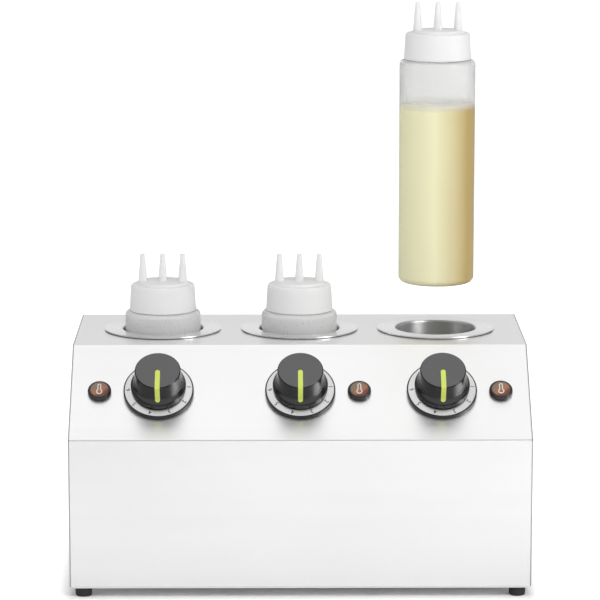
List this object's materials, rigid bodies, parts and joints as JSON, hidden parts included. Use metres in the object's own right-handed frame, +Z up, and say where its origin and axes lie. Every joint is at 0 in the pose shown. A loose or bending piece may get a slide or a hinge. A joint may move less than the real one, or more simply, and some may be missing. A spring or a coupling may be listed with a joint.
{
  "type": "sauce bottle warmer",
  "caption": "Countertop sauce warmer: folded steel housing with dry wells for squeeze bottles, sloped control panel with thermostat knobs and pilot lamps, translucent spouted bottles.",
  "frame": {"origin": "on the floor, under the middle of the whole outline, which includes the cable gland at the rear", "axes": "+Z up; the front and its control slope face -Y; +X is to the right as seen from the front"},
  "size_m": [0.419, 0.262, 0.5266],
  "materials": {
    "housing_steel": "fine-brushed stainless sheet",
    "panel_steel": "plain stainless sheet, dull",
    "drawn_steel": "drawn and turned stainless, satin",
    "zinc_steel": "zinc-plated steel",
    "spring_steel": "spring and stamped steel",
    "foot_rubber": "matt black rubber",
    "gasket_rubber": "silicone rubber, matt",
    "knob_black": "moulded phenolic, semi-gloss",
    "pointer_green": "yellow-green inlay",
    "bezel_black": "moulded black plastic",
    "dial_silver": "satin spun aluminium with dark numerals",
    "lens_amber": "amber translucent lens",
    "bottle_plastic": "translucent milky polyethylene",
    "cap_plastic": "translucent milky polyethylene",
    "sauce": "pale smooth sauce",
    "shaft_brass": "turned brass",
    "thermostat_plastic": "cream phenolic",
    "copper_tube": "copper tube",
    "heater_steel": "heat-tinted steel jacket over mica",
    "glass_fibre": "woven glass-fibre sleeve",
    "gland_plastic": "black nylon",
    "wire_insulation": "silicone wire insulation"
  },
  "bodies": {
    "housing": {"top_front_shell": "housing_steel", "left_side_panel": "housing_steel", "right_side_panel": "housing_steel", "rear_panel": "panel_steel", "base_plate": "panel_steel", "well_1": "drawn_steel", "well_2": "drawn_steel", "well_3": "drawn_steel", "pan_screws": "zinc_steel", "foot_screws": "zinc_steel", "hex_nuts": "zinc_steel", "band_bolts": "zinc_steel", "bulb_clips": "spring_steel", "pilot_nuts": "spring_steel", "rubber_feet": "foot_rubber", "well_gaskets": "gasket_rubber", "gland_seal": "gasket_rubber", "dial_bezel_1": "bezel_black", "dial_bezel_2": "bezel_black", "dial_bezel_3": "bezel_black", "pilot_housing_1": "bezel_black", "pilot_housing_2": "bezel_black", "pilot_housing_3": "bezel_black", "dial_plate_1": "dial_silver", "dial_plate_2": "dial_silver", "dial_plate_3": "dial_silver", "pilot_lens_1": "lens_amber", "pilot_lens_2": "lens_amber", "pilot_lens_3": "lens_amber", "thermostat_1": "thermostat_plastic", "thermostat_2": "thermostat_plastic", "thermostat_3": "thermostat_plastic", "terminal_block": "thermostat_plastic", "capillaries": "copper_tube", "heater_band_1": "heater_steel", "heater_band_2": "heater_steel", "heater_band_3": "heater_steel", "insulation_sleeve_1": "glass_fibre", "insulation_sleeve_2": "glass_fibre", "insulation_sleeve_3": "glass_fibre", "gland_body": "gland_plastic", "gland_cap": "gland_plastic", "gland_locknut": "gland_plastic", "wiring": "wire_insulation"},
    "knob_1_body": {"knob_1": "knob_black", "knob_pointer_1": "pointer_green", "thermostat_shaft_1": "shaft_brass"},
    "knob_2_body": {"knob_2": "knob_black", "knob_pointer_2": "pointer_green", "thermostat_shaft_2": "shaft_brass"},
    "knob_3_body": {"knob_3": "knob_black", "knob_pointer_3": "pointer_green", "thermostat_shaft_3": "shaft_brass"},
    "bottle_1_body": {"bottle_1": "bottle_plastic"},
    "cap_1_body": {"cap_1": "cap_plastic"},
    "bottle_2_body": {"bottle_2": "bottle_plastic"},
    "cap_2_body": {"cap_2": "cap_plastic"},
    "bottle_3_body": {"bottle_3": "bottle_plastic", "sauce_fill": "sauce"},
    "cap_3_body": {"cap_3": "cap_plastic"}
  },
  "joints": [
    {"name": "knob_1_turn", "type": "hinge", "parent": "housing", "child": "knob_1_body", "pos_m": [-0.129, -0.08846, 0.18202], "axis": [0, 0.6356, -0.772], "range_deg": [-180, 90]},
    {"name": "knob_2_turn", "type": "hinge", "parent": "housing", "child": "knob_2_body", "pos_m": [0, -0.08846, 0.18202], "axis": [0, 0.6356, -0.772], "range_deg": [-180, 90]},
    {"name": "knob_3_turn", "type": "hinge", "parent": "housing", "child": "knob_3_body", "pos_m": [0.129, -0.08846, 0.18202], "axis": [0, 0.6356, -0.772], "range_deg": [-180, 90]},
    {"name": "bottle_1_lift", "type": "slide", "parent": "housing", "child": "bottle_1_body", "axis": [0, 0, 1], "range_m": [0, 0.25]},
    {"name": "bottle_2_lift", "type": "slide", "parent": "housing", "child": "bottle_2_body", "axis": [0, 0, 1], "range_m": [0, 0.25]},
    {"name": "bottle_3_lift", "type": "slide", "parent": "housing", "child": "bottle_3_body", "axis": [0, 0, 1], "range_m": [-0.2372, 0.0128]},
    {"name": "cap_1_lift", "type": "slide", "parent": "bottle_1_body", "child": "cap_1_body", "axis": [0, 0, 1], "range_m": [0, 0.06]},
    {"name": "cap_2_lift", "type": "slide", "parent": "bottle_2_body", "child": "cap_2_body", "axis": [0, 0, 1], "range_m": [0, 0.06]},
    {"name": "cap_3_lift", "type": "slide", "parent": "bottle_3_body", "child": "cap_3_body", "axis": [0, 0, 1], "range_m": [0, 0.06]}
  ]
}
